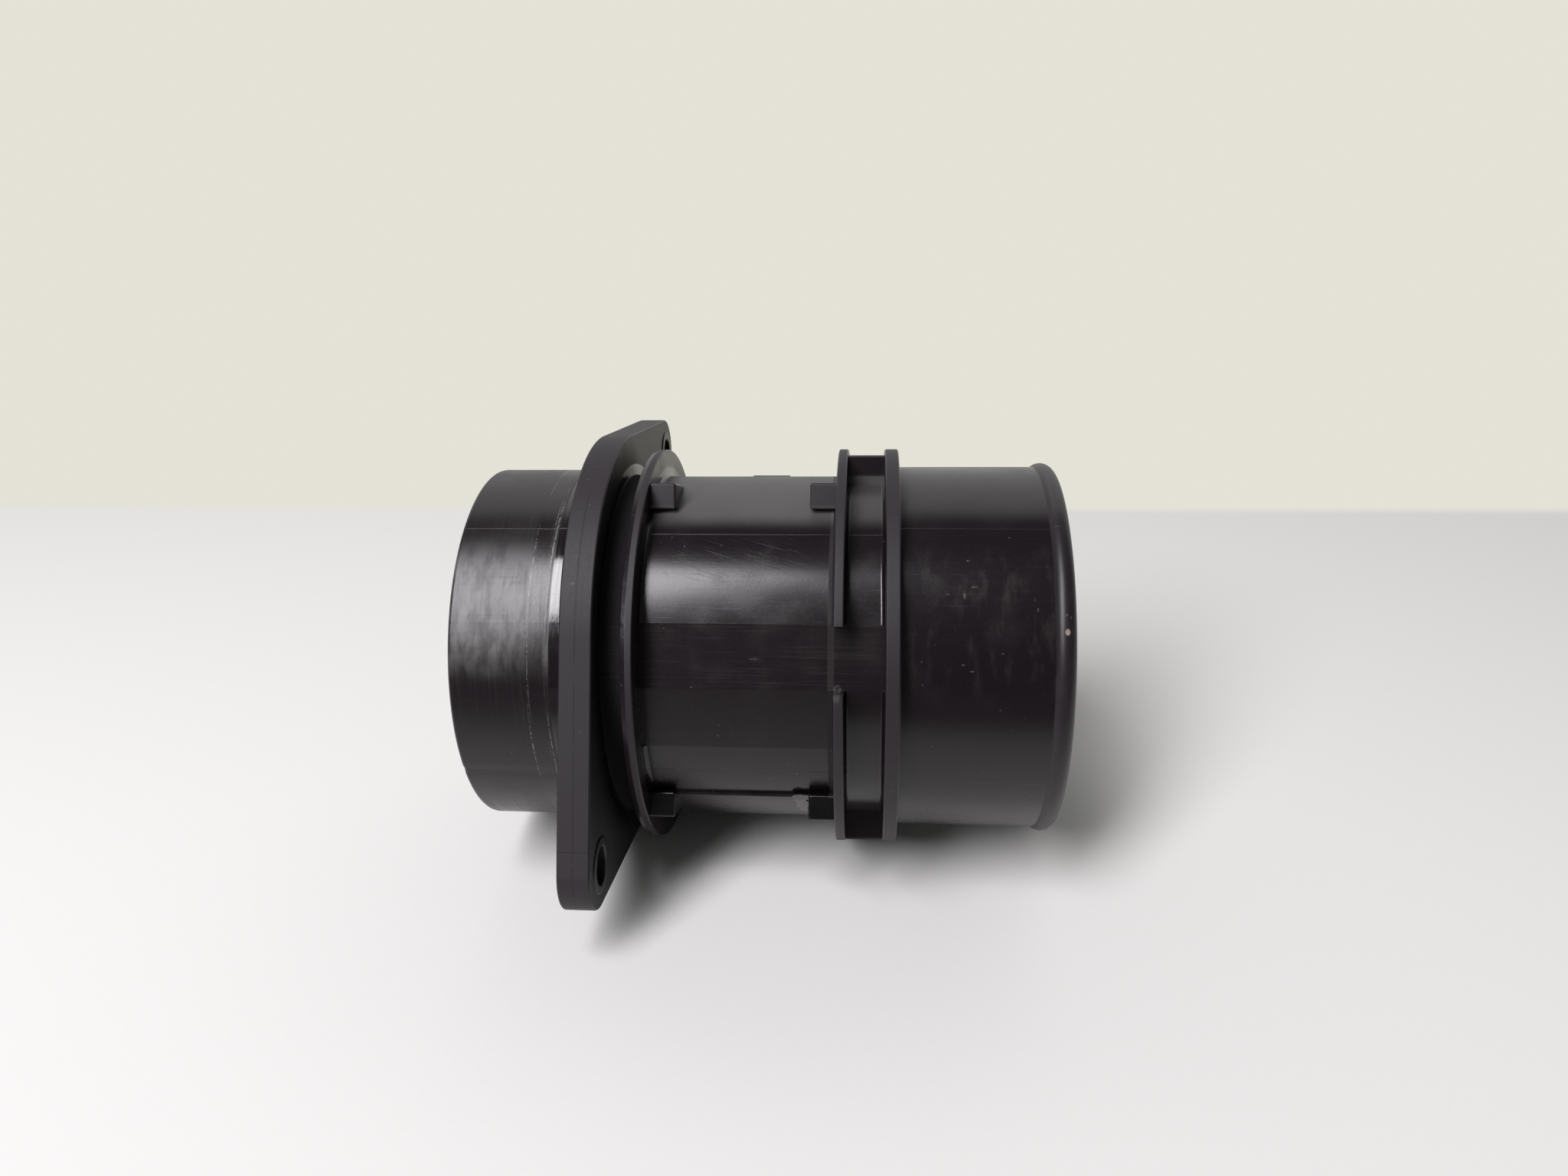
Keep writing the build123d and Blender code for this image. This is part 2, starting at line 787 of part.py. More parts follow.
supply_regulator.part.label = "supply_regulator"
export_step(supply_regulator.part, "parts/supply_regulator.step")
board_capacitors.part.label = "board_capacitors"
export_step(board_capacitors.part, "parts/board_capacitors.step")
board_resistors.part.label = "board_resistors"
export_step(board_resistors.part, "parts/board_resistors.step")
pin_straps.part.label = "pin_straps"
export_step(pin_straps.part, "parts/pin_straps.step")
sensor_carrier.part.label = "sensor_carrier"
export_step(sensor_carrier.part, "parts/sensor_carrier.step")
hot_film_chip.part.label = "hot_film_chip"
export_step(hot_film_chip.part, "parts/hot_film_chip.step")
probe_duct_cover.part.label = "probe_duct_cover"
export_step(probe_duct_cover.part, "parts/probe_duct_cover.step")
thermistor_bead.part.label = "thermistor_bead"
export_step(thermistor_bead.part, "parts/thermistor_bead.step")
thermistor_leads.part.label = "thermistor_leads"
export_step(thermistor_leads.part, "parts/thermistor_leads.step")
vent_plug.part.label = "vent_plug"
export_step(vent_plug.part, "parts/vent_plug.step")
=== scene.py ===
import json
import math

import bmesh
import bpy
from mathutils import Matrix, Vector


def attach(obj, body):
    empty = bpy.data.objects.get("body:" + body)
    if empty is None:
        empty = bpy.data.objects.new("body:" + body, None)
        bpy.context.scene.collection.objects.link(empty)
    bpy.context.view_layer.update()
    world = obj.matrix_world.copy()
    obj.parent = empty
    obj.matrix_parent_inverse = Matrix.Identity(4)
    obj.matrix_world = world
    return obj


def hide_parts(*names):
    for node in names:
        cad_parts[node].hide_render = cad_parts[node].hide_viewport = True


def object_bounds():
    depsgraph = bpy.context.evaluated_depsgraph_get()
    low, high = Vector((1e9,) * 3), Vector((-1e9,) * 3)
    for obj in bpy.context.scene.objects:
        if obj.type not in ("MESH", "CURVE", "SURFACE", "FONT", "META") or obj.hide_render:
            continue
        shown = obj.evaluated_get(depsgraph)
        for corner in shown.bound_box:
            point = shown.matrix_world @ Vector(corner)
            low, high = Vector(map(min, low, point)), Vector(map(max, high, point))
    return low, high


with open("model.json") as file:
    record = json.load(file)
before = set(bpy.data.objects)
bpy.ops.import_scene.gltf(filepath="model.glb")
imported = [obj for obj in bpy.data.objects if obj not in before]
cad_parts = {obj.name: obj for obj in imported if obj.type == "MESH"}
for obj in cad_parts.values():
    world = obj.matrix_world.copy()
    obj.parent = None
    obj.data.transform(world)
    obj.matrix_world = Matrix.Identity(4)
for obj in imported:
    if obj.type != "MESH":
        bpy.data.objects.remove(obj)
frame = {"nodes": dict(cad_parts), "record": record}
cad_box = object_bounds()


# ---------------------------------------------------------------- duct moulding
# The body is one injection moulding in glass-filled black nylon: the plain spigot for the
# air box, the two-ear flange, three stop rings, the seat of the sensor and the beaded hose
# end. It leaves the tool in one piece, with a fine witness line where the tool closes.
mm = 0.001
socket = next(m for m in frame["record"]["mounts"] if m["name"] == "connector_socket")
lean = math.atan2(socket["axis"][1], socket["axis"][2])
lean_turn = Matrix.Rotation(-lean, 4, "X")

body_radius = 36.0
bore_radius = 33.0
ring_radius = 41.75
spigot_radius = 37.45
seat_radius = 34.9
hose_radius = 38.0
outlet_radius = 35.2
spigot_mouth = -22.7
flange_back = 6.3
front_ring = (11.3, 13.65)
clip_ring = (50.3, 52.3)
stop_ring = (59.8, 62.6)
hose_mouth = 94.5
bead_radius = 2.2
bead_crest = 38.8
rim_round = 0.35
root_round = 0.9
flange_rim = 43.1
flange_middle = (1.2, 2.0)
seat_end = -8.7
land_start = -3.4
land_height = 0.15
module_middle = 31.975
flare_length = 4
along_duct = Matrix.Rotation(math.pi / 2, 4, "Y")


def rounded(corners, steps=4):
    """A closed outline from (x, r, radius) corners, with each corner turned on its radius."""
    outline = []
    for i, (x, r, radius) in enumerate(corners):
        here = Vector((x, r))
        if radius == 0:
            outline.append(here)
            continue
        back = (Vector(corners[i - 1][:2]) - here).normalized()
        on = (Vector(corners[(i + 1) % len(corners)][:2]) - here).normalized()
        half = back.angle(on) / 2
        centre = here + (back + on).normalized() * (radius / math.sin(half))
        start = here + back * (radius / math.tan(half)) - centre
        turn = start.angle_signed(here + on * (radius / math.tan(half)) - centre)
        for step in range(steps + 1):
            outline.append(centre + Matrix.Rotation(-turn * step / steps, 2) @ start)
    return outline


def arc(centre, radius, start, end, steps):
    """Points on an arc, as corners with no radius; angles in degrees."""
    angles = [math.radians(start + (end - start) * i / steps) for i in range(steps + 1)]
    return [(centre[0] + radius * math.cos(a), centre[1] + radius * math.sin(a), 0) for a in angles]


def spun(outline, segments, middle=(0, 0)):
    """A closed shell made by turning a closed outline about an axis along the duct."""
    shell = bmesh.new()
    points = [shell.verts.new((p[0], middle[0], middle[1] + p[1])) for p in outline]
    edges = [shell.edges.new((a, b)) for a, b in zip(points, points[1:] + points[:1])]
    bmesh.ops.spin(
        shell,
        geom=points + edges,
        cent=(0, *middle),
        axis=(1, 0, 0),
        angle=math.tau,
        steps=segments,
        use_merge=True,
    )
    bmesh.ops.remove_doubles(shell, verts=shell.verts, dist=0.0005)
    bmesh.ops.recalc_face_normals(shell, faces=shell.faces)
    return shell


def block(x, out, up, round_over=0.25, segments=2):
    """A block between two limits each way, with its edges rounded."""
    shell = bmesh.new()
    bmesh.ops.create_cube(shell, size=1)
    size = [high - low for low, high in (x, out, up)]
    middle = [(high + low) / 2 for low, high in (x, out, up)]
    bmesh.ops.scale(shell, vec=size, verts=shell.verts)
    bmesh.ops.translate(shell, vec=middle, verts=shell.verts)
    if round_over:
        bmesh.ops.bevel(
            shell,
            geom=shell.edges[:],
            offset=round_over,
            segments=segments,
            profile=0.5,
            affect="EDGES",
            material=-1,
        )
    return shell


def rod(radius, start, end, centre=(0, 0), segments=96):
    """A plain round cutter along the duct."""
    shell = bmesh.new()
    bmesh.ops.create_cone(
        shell,
        cap_ends=True,
        segments=segments,
        radius1=radius,
        radius2=radius,
        depth=end - start,
        matrix=Matrix.Translation(((start + end) / 2, *centre)) @ along_duct,
    )
    return shell


def temporary(shell):
    mesh = bpy.data.meshes.new("temporary")
    shell.to_mesh(mesh)
    shell.free()
    piece = bpy.data.objects.new("temporary", mesh)
    bpy.context.scene.collection.objects.link(piece)
    return piece


def carved(shell, *cutters):
    """What is left of a closed shell when closed cutters are taken out of it."""
    piece = temporary(shell)
    tools = [temporary(cutter) for cutter in cutters]
    for tool in tools:
        cut = piece.modifiers.new("cut", "BOOLEAN")
        cut.operation = "DIFFERENCE"
        cut.solver = "EXACT"
        cut.object = tool
    depsgraph = bpy.context.evaluated_depsgraph_get()
    left = bmesh.new()
    left.from_mesh(piece.evaluated_get(depsgraph).data)
    for done in [piece, *tools]:
        mesh = done.data
        bpy.data.objects.remove(done)
        bpy.data.meshes.remove(mesh)
    return left


def finished(name, shells, nodes, crease=32):
    """One piece from shells in millimetres, leaned into place and shaded smooth between creases."""
    mesh = bpy.data.meshes.new(name)
    whole = bmesh.new()
    for shell in shells:
        part = bpy.data.meshes.new("part")
        shell.to_mesh(part)
        shell.free()
        whole.from_mesh(part)
        bpy.data.meshes.remove(part)
    bmesh.ops.scale(whole, vec=(mm, mm, mm), verts=whole.verts)
    bmesh.ops.rotate(whole, cent=(0, 0, 0), matrix=lean_turn, verts=whole.verts)
    for face in whole.faces:
        face.smooth = True
    for edge in whole.edges:
        if len(edge.link_faces) != 2 or edge.calc_face_angle() > math.radians(crease):
            edge.smooth = False
    whole.to_mesh(mesh)
    whole.free()
    piece = bpy.data.objects.new(name, mesh)
    bpy.context.scene.collection.objects.link(piece)
    shading = piece.modifiers.new("shading", "WEIGHTED_NORMAL")
    shading.keep_sharp = True
    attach(piece, "root")
    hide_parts(*nodes)
    return piece


# The tube, with its rings and roots. Its hidden stretch runs inside the flange, and the front
# ring's rim is eased towards the flange.
ring_ease = 1.1
hidden, hidden_radius = (1.0, 6.2), 40.0
tube = spun(
    rounded(
        [
            (spigot_mouth, seat_radius, 0.3),
            (spigot_mouth, spigot_radius, 0.8),
            (land_start - land_height, spigot_radius, 0),
            (land_start, spigot_radius + land_height, 0),
            (hidden[0], spigot_radius + land_height, 0),
            (hidden[0], hidden_radius, 0),
            (hidden[1], hidden_radius, 0),
            (hidden[1], body_radius, 1.0),
            (front_ring[0], body_radius, root_round),
            (front_ring[0], ring_radius - 0.28, 0.2),
            (front_ring[0] + ring_ease, ring_radius, 0.2),
            (front_ring[1], ring_radius, rim_round),
            (front_ring[1], body_radius, root_round),
            (clip_ring[0], body_radius, root_round),
            (clip_ring[0], ring_radius, rim_round),
            (clip_ring[1], ring_radius, rim_round),
            (clip_ring[1], body_radius, root_round),
            (stop_ring[0], body_radius, root_round),
            (stop_ring[0], ring_radius, rim_round),
            (stop_ring[1], ring_radius, rim_round),
            (stop_ring[1], hose_radius, 0.3),
            *arc((hose_mouth - bead_radius, bead_crest - bead_radius), bead_radius, 140.5, 0, 12),
            (hose_mouth, outlet_radius, 0.4),
            (stop_ring[1] + flare_length, outlet_radius, 0),
            (stop_ring[1], bore_radius, 0),
            (seat_end, bore_radius, 0.2),
            (seat_end, seat_radius, 0),
        ]
    ),
    192,
)

# Two flats side by side, opposite the sensor: one from the front ring through the clip ring to
# the stop ring, and one below it in the bay alone.
flat_half = 6.15
flat_depth = math.sqrt(body_radius**2 - flat_half**2)
flat_step = 2 * math.asin(flat_half / body_radius)
for turn, flat_end in ((0, stop_ring[0]), (flat_step, clip_ring[0])):
    inward = Vector((0, math.cos(turn), math.sin(turn)))
    side = Vector((0, math.sin(turn), -math.cos(turn)))
    for offset in (-flat_half, -flat_half + 0.05, flat_half - 0.05, flat_half):
        near = [f for f in tube.faces if f.calc_center_median().dot(inward) < -30]
        edges = {e for f in near for e in f.edges}
        corners = {v for f in near for v in f.verts}
        bmesh.ops.bisect_plane(
            tube,
            geom=near + list(edges) + list(corners),
            dist=0.0001,
            plane_co=side * offset,
            plane_no=side,
        )
    for v in tube.verts:
        if (
            front_ring[1] + 0.01 < v.co.x < flat_end - 0.01
            and abs(v.co.dot(side)) < flat_half - 0.02
            and v.co.dot(inward) < -flat_depth + 0.05
        ):
            v.co -= inward * (v.co.dot(inward) + flat_depth)
ridges = []
for edge in tube.edges:
    run = edge.verts[1].co - edge.verts[0].co
    if abs(run.x) > 0.99 * run.length and edge.calc_face_angle(0) > math.radians(7):
        if front_ring[1] < edge.verts[0].co.x < stop_ring[0]:
            ridges.append(edge)
bmesh.ops.bevel(
    tube,
    geom=ridges,
    offset=0.3,
    segments=3,
    profile=0.5,
    affect="EDGES",
    material=-1,
    clamp_overlap=True,
)

# A knock on the rim of the spigot's mouth.
knock_turn, knock_width, knock_depth = math.radians(39.9), 0.9, 0.45
for v in tube.verts:
    reach = math.hypot(v.co.y, v.co.z)
    aside = (math.atan2(-v.co.z, -v.co.y) - knock_turn) * reach
    if v.co.x < spigot_mouth + 1.2 and reach > spigot_radius - 1 and abs(aside) < knock_width:
        keep = 1 - knock_depth * (1 - abs(aside) / knock_width) / reach
        v.co.y *= keep
        v.co.z *= keep

# The flange, as the hull of its round part and its two ears.
ear_circle = 53.8
ear_turn = math.radians(51.3)
ear_middle = (-1.5, 1.95)
ear_radius = 8.3
bush_radius = 5.5
ears = [
    (
        ear_middle[0] + side * ear_circle * math.cos(ear_turn),
        ear_middle[1] + side * ear_circle * math.sin(ear_turn),
    )
    for side in (1, -1)
]
flange = bmesh.new()
rounds = ((flange_middle, flange_rim, 160), (ears[0], ear_radius, 64), (ears[1], ear_radius, 64))
for x in (0, flange_back):
    for centre, radius, segments in rounds:
        bmesh.ops.create_circle(
            flange,
            segments=segments,
            radius=radius,
            matrix=Matrix.Translation((x, *centre)) @ along_duct,
        )
bmesh.ops.convex_hull(flange, input=flange.verts)
loose = [v for v in flange.verts if not v.link_faces]
bmesh.ops.delete(flange, geom=loose, context="VERTS")
bmesh.ops.dissolve_limit(flange, angle_limit=0.002, verts=flange.verts, edges=flange.edges)
bmesh.ops.recalc_face_normals(flange, faces=flange.faces)
rims = [e for e in flange.edges if abs(e.calc_face_angle(0) - math.pi / 2) < 0.05]
bmesh.ops.bevel(
    flange,
    geom=rims,
    offset=0.45,
    segments=3,
    profile=0.5,
    affect="EDGES",
    material=-1,
)
flange_bore = 34.2
through = (-5, 12)
flange = carved(
    flange,
    rod(flange_bore, *through),
    *[rod(bush_radius, *through, ear, 48) for ear in ears],
)

# Four lugs in the corners of the bay, and the two webs that close the channel.
lug_face = 24.77
lug_inset = 28.0
lug_width = 5.1
lug_length = 5.1
lug_foot = -12
lug_stretches = (
    (front_ring[1] - 1, front_ring[1] + lug_length),
    (clip_ring[0] - lug_length, clip_ring[0] + 1),
)
lugs = [
    block(
        stretch,
        (-lug_face, lug_foot),
        sorted((side * lug_inset, side * (lug_inset + lug_width))),
        0.5,
        3,
    )
    for stretch in lug_stretches
    for side in (1, -1)
]
web_stretch = (clip_ring[1] - 0.5, stop_ring[0] + 0.5)
web_out = (-13.5, -11.3)
web_foot, web_top = 32, 39.45
webs = [
    block(web_stretch, web_out, sorted((side * web_foot, side * web_top)), 0.2)
    for side in (1, -1)
]

# The seat of the sensor housing, taken down to the tube's wall inside.
seat_out, seat_width, seat_bore = (24, 41.9), 45, 34.5
seat = carved(
    block(
        (front_ring[1] - 0.3, clip_ring[0] + 0.3),
        seat_out,
        (-seat_width / 2, seat_width / 2),
        0.4,
    ),
    rod(seat_bore, 0, 70),
)

# A low bare field between the lower lugs, bent round the tube.
field_start, field_sweep = 52.0, 48.0
field_top, field_foot = 36.7, 35.2
field = bmesh.new()
bmesh.ops.create_grid(field, x_segments=4, y_segments=40, size=0.5)
bmesh.ops.solidify(field, geom=field.faces[:], thickness=1)
bmesh.ops.recalc_face_normals(field, faces=field.faces)
for v in field.verts:
    turn = math.radians(field_start + (v.co.y + 0.5) * field_sweep)
    radius = field_top if v.co.z > -0.5 else field_foot
    x = module_middle + v.co.x * (clip_ring[0] - front_ring[1] - 2 * lug_length)
    v.co = (x, -radius * math.cos(turn), -radius * math.sin(turn))
bmesh.ops.recalc_face_normals(field, faces=field.faces)

# A torn scrap of film still stuck over the field's outlet end.
scrap_outline = (
    (41.9, 50.9), (43.0, 50.2), (44.9, 50.6), (45.0, 54.4), (44.8, 60.3), (44.3, 62.0),
    (43.9, 67.3), (43.6, 64.4), (43.1, 61.8), (42.5, 59.0), (42.6, 55.8), (42.1, 52.9),
)
scrap = bmesh.new()
scrap.faces.new([scrap.verts.new((x, turn, 0)) for x, turn in scrap_outline])
bmesh.ops.subdivide_edges(scrap, edges=scrap.edges[:], cuts=2, fractal=0.8, seed=3)
bmesh.ops.triangulate(scrap, faces=scrap.faces[:])
bmesh.ops.solidify(scrap, geom=scrap.faces[:], thickness=0.12)
scrap_radius = 36.86
for v in scrap.verts:
    turn = math.radians(v.co.y)
    radius = scrap_radius + v.co.z + 0.10 * math.sin(3.1 * v.co.x) * math.sin(0.9 * v.co.y)
    v.co = (v.co.x, -radius * math.cos(turn), -radius * math.sin(turn))
bmesh.ops.recalc_face_normals(scrap, faces=scrap.faces)

duct = finished(
    "duct_moulding", [tube, flange, *lugs, *webs, seat, field, scrap], ["duct_body"]
)


class Value:
    """A number or vector inside a material, which Python's operators work on."""

    def __init__(self, finish, socket):
        self.finish, self.socket = finish, socket

    def maths(self, operation, *others):
        return self.finish.node("Math", {"operation": operation}, [self, *others])

    def __add__(self, other):
        return self.maths("ADD", other)

    def __sub__(self, other):
        return self.maths("SUBTRACT", other)

    def __mul__(self, other):
        return self.maths("MULTIPLY", other)

    def __truediv__(self, other):
        return self.maths("DIVIDE", other)

    def __neg__(self):
        return self.maths("MULTIPLY", -1)

    def __radd__(self, other):
        return self.maths("ADD", other)

    def __rmul__(self, other):
        return self.maths("MULTIPLY", other)

    def __rsub__(self, other):
        return self.finish.node("Math", {"operation": "SUBTRACT"}, [other, self])

    def between(self, low, high, soft=0.2):
        """1 where this lies between two limits, fading to 0 over a soft edge."""
        return self.rise(low - soft, low + soft) * self.fall(high - soft, high + soft)

    def rise(self, start, end, low=0.0, high=1.0):
        """Smoothly from low to high as this goes from start to end."""
        return self.finish.node(
            "MapRange",
            {"interpolation_type": "SMOOTHSTEP"},
            {"Value": self, "From Min": start, "From Max": end, "To Min": low, "To Max": high},
        )

    def fall(self, start, end):
        return self.rise(start, end, 1.0, 0.0)


class Finish:
    """A material with one Principled shader and the nodes that vary it."""

    def __init__(self, name):
        self.material = bpy.data.materials.new(name)
        self.material.use_nodes = True
        self.tree = self.material.node_tree
        self.shader = self.tree.nodes["Principled BSDF"]

    def node(self, kind, settings, inputs, output=0):
        made = self.tree.nodes.new("ShaderNode" + kind)
        for name, setting in settings.items():
            setattr(made, name, setting)
        named = inputs.items() if isinstance(inputs, dict) else enumerate(inputs)
        for key, value in named:
            self.feed(made.inputs[key], value)
        return Value(self, made.outputs[output])

    def feed(self, socket, value):
        if isinstance(value, Value):
            self.tree.links.new(value.socket, socket)
        else:
            socket.default_value = value

    def set(self, **inputs):
        for name, value in inputs.items():
            self.feed(self.shader.inputs[name.replace("_", " ")], value)

    def vector(self, x, y, z):
        return self.node("CombineXYZ", {}, [x, y, z])

    def noise(self, place, scale, detail=2.0, roughness=0.5, distortion=0.0):
        inputs = {"Vector": place, "Scale": scale, "Detail": detail}
        inputs |= {"Roughness": roughness, "Distortion": distortion}
        return self.node("TexNoise", {}, inputs)

    def cells(self, place, scale, randomness=1.0):
        """Distance to the nearest of scattered points, and a random number for each point."""
        inputs = {"Vector": place, "Scale": scale, "Randomness": randomness}
        near = self.node("TexVoronoi", {}, inputs)
        colour = Value(self, near.socket.node.outputs["Color"])
        return near, self.node("SeparateColor", {}, [colour])

    def mix(self, factor, first, second):
        """A colour between two colours."""
        mixed = self.tree.nodes.new("ShaderNodeMix")
        mixed.data_type = "RGBA"
        self.feed(mixed.inputs["Factor"], factor)
        for name, colour in (("A", first), ("B", second)):
            socket = next(s for s in mixed.inputs if s.name == name and s.type == "RGBA")
            self.feed(socket, colour if isinstance(colour, Value) else (*colour, 1.0))
        return Value(self, next(s for s in mixed.outputs if s.type == "RGBA"))

    def bump(self, height, depth, strength=1.0):
        """Relief from a height that runs from 0 to 1 over a depth in millimetres."""
        inputs = {"Strength": strength, "Distance": depth * mm, "Height": height}
        return self.node("Bump", {}, inputs)

    def facing(self):
        """How far the surface faces along the duct, from 0 to 1."""
        normal = self.node("NewGeometry", {}, {}, "Normal")
        return self.node("SeparateXYZ", {}, [normal], "X").maths("ABSOLUTE")

    def spot(self, place, centre, half):
        """1 inside a small soft-edged oval about a centre, 0 outside."""
        offset = self.node("VectorMath", {"operation": "SUBTRACT"}, [place, centre])
        shape = self.node("VectorMath", {"operation": "DIVIDE"}, [offset, half])
        return self.node("VectorMath", {"operation": "LENGTH"}, [shape], "Value").fall(0.55, 1.1)

    def local(self):
        """Millimetres along the duct, out to the sensor, and up; then all three as one vector."""
        place = self.node("TexCoord", {}, [], "Object")
        turned = self.node(
            "Mapping", {}, {"Vector": place, "Rotation": (lean, 0, 0), "Scale": (1000, 1000, 1000)}
        )
        along = self.node("SeparateXYZ", {}, [turned], "X")
        out = Value(self, along.socket.node.outputs["Y"])
        up = Value(self, along.socket.node.outputs["Z"])
        return along, out, up, turned


# Glossy black nylon. The rims are satin from the tool, a dust film lies on the upper side of the
# bay, the spigot is rubbed round by its seal, and small chips and smears show pale. The spigot's
# pale haze also paints in part of its highlight, and painted shade darkens the neck, the flange's
# faces and the lower lugs' fronts, while only the upper lugs' fronts take the lighter satin.
duct_plastic = Finish("duct_plastic")
along, out, up, place = duct_plastic.local()
across = duct_plastic.vector(0, out, up)
radius = duct_plastic.node("VectorMath", {"operation": "LENGTH"}, [across], "Value")
turn = (-up).maths("ARCTAN2", -out)
degrees = turn * math.degrees(1)
arc_length = turn * body_radius
skin = duct_plastic.vector(along, arc_length, radius)
facing = duct_plastic.facing()

grain = duct_plastic.noise(place, 1.9, 3.0, 0.6)
cloud = duct_plastic.noise(skin, 0.10, 4.0, 0.55)
drawn_along = duct_plastic.vector(along * 0.06, arc_length * 2.6, radius)
lengthwise = duct_plastic.noise(drawn_along, 1.0, 3.0, 0.6)
drawn_round = duct_plastic.vector(along * 3.0, arc_length * 0.045, radius)
round_about = duct_plastic.noise(drawn_round, 1.0, 3.0, 0.6)
specks, speck_pick = duct_plastic.cells(place, 0.42)
dust = specks.fall(0.04, 0.075) * speck_pick.rise(0.72, 0.73) * radius.rise(35.2, 35.4)

flange_zone = along.between(-0.05, flange_back + 0.1, 0.05)
spigot = along.fall(-0.5, -0.1) * radius.rise(36.5, 36.9)
hose_end = along.rise(stop_ring[1] + 0.1, stop_ring[1] + 0.5)
bay = along.between(front_ring[1] + 0.1, clip_ring[0] - 0.1, 0.1) * radius.fall(37.4, 38.0)
channel = along.between(clip_ring[1] + 0.1, stop_ring[0] - 0.1, 0.1) * radius.fall(37.4, 38.0)
bore = radius.fall(bore_radius + 1.9, bore_radius + 2.3)
ring_rim = radius.rise(41.2, 41.45) * (1 - flange_zone)
rim = ring_rim.maths("MAXIMUM", flange_zone * radius.rise(38.9, 39.3))
eased_rim = along.between(front_ring[0] - 0.1, front_ring[0] + ring_ease - 0.1, 0.1)
rim = rim * facing.fall(0.3, 0.6) * (1 - eased_rim)
lug_fronts = (-out).between(lug_face - 0.6, lug_face + 0.1, 0.05)
lug_fronts = lug_fronts * up.maths("ABSOLUTE").between(lug_inset - 0.1, 33.3, 0.1)
inlet_lugs = along.between(front_ring[1], front_ring[1] + lug_length + 0.1)
outlet_lugs = along.between(clip_ring[0] - lug_length - 0.1, clip_ring[0])
lug_fronts = lug_fronts * (inlet_lugs + outlet_lugs)
# Painted light and shade: only the upper lugs' fronts take the lighter satin finish, and the lower
# lugs' fronts are painted near-black as shade further down.
lit_upper_lug_fronts = lug_fronts * up.rise(0, 1)
bead_root = hose_mouth - 2 * bead_radius
bead = along.rise(bead_root + 0.3, bead_root + 0.6) * radius.rise(37.2, 37.6)
satin = (rim + lit_upper_lug_fronts * 0.9 + bead * 0.5).maths("MINIMUM", 1.0)
neck = along.between(flange_back + 0.1, front_ring[0] - 0.4, 0.1) * radius.fall(37.0, 38.0)
flange_face = flange_zone * facing.rise(0.55, 0.85) * radius.rise(38.5, 39.0)
root = along.between(clip_ring[0] - 1.1, clip_ring[0] + 0.05, 0.1) * radius.fall(37.4, 38.0)
ring_side = radius.rise(37.6, 38.6) * facing.rise(0.55, 0.85) * (1 - flange_zone)

# The witness lines of the tool, where its slides part.
witness = 0
for side in (-39.5, 39.5):
    witness = (degrees - side).maths("ABSOLUTE").fall(0.05, 0.16) + witness
flange_line = (along - 3.15).maths("ABSOLUTE").fall(0.05, 0.16) * flange_zone * rim
witness = witness * (1 - bore) + flange_line * round_about.rise(0.35, 0.5)

# Dust film: thick on the bay's upper side, thin on the other up-facing stretches.
settled = degrees.fall(-49, -41)
film = settled * (bay + channel * 0.6 + spigot * 0.25 + hose_end * 0.28).maths("MINIMUM", 1.0)
film = film * (0.75 + cloud * 0.5) * facing.fall(0.3, 0.6)

# Rubbed bands round the spigot, beside the flange.
band = along.between(-7.6, -4.3, 0.15) * spigot
land = along.between(-3.1, -0.65, 0.08) * spigot
scuffs = along.between(-7.75, -7.15, 0.1) + along.between(-4.35, -3.55, 0.15)
scuffs = scuffs * spigot * round_about.rise(0.5, 0.62) * grain.rise(0.4, 0.55)
rubbed = spigot * round_about.rise(0.52, 0.75)

# Fine scratches across the top of the bay's highlight.
stroke = duct_plastic.node("Mapping", {}, {"Vector": skin, "Rotation": (0, 0, math.radians(-19))})
drawn_out = duct_plastic.node("VectorMath", {"operation": "MULTIPLY"}, [stroke, (0.09, 3.6, 0.0)])
strokes = duct_plastic.noise(drawn_out, 1.0, 4.0, 0.7, 0.4)
scratched = strokes.rise(0.56, 0.70) * degrees.between(-37, -24, 3) * along.between(19, 44, 3) * bay

# Chips and smears: place along, degrees round from the pad, half sizes along and round, strength.
pale_marks = (
    (2.25, -18.6, 0.75, 0.35, 0.5),
    (23.7, 9.4, 0.22, 0.18, 0.5),
    (35.5, 0.7, 1.3, 0.30, 0.2),
    (43.2, 40.4, 0.30, 0.22, 0.9),
    (41.4, 36.0, 0.30, 0.16, 0.7),
    (2.8, -55.3, 0.25, 0.2, 0.7),
    (3.7, -40.8, 0.2, 0.2, 0.7),
    (91.5, -13.1, 0.24, 0.22, 0.8),
    (92.4, -12.6, 0.18, 0.26, 0.7),
    (93.2, -12.0, 0.17, 0.20, 0.6),
    (86.8, -17.1, 0.16, 0.40, 0.35),
    (87.4, -14.1, 0.14, 0.45, 0.4),
    (75.0, -28.5, 0.35, 0.16, 0.5),
    (76.0, -20.5, 0.6, 0.18, 0.45),
    (74.2, -18.0, 0.28, 0.9, 0.35),
    (71.2, -18.3, 0.35, 0.16, 0.3),
    (74.0, 1.2, 0.4, 0.18, 0.4),
    (75.6, 3.0, 0.5, 0.16, 0.4),
    (81.0, -2.0, 0.3, 0.2, 0.25),
    (51.0, 9.5, 0.9, 1.1, 0.30),
)
marked = dust * 0.45
for at, bearing, half_along, half_round, strength in pale_marks:
    centre = (at, math.radians(bearing) * body_radius, 38)
    mark = duct_plastic.spot(skin, centre, (half_along, half_round, 8)) * strength
    marked = mark.maths("MAXIMUM", marked)
marked = marked * grain.rise(0.30, 0.62) * (1 - neck) * 0.8
wiped = duct_plastic.noise(duct_plastic.vector(along * 0.35, arc_length * 0.12, 0), 1.0, 3.0, 0.6)
hazy = hose_end * wiped.rise(0.5, 0.7) * degrees.between(-30, 8, 6)
chip_middle = (92.5, math.radians(-8.0) * body_radius, bead_crest)
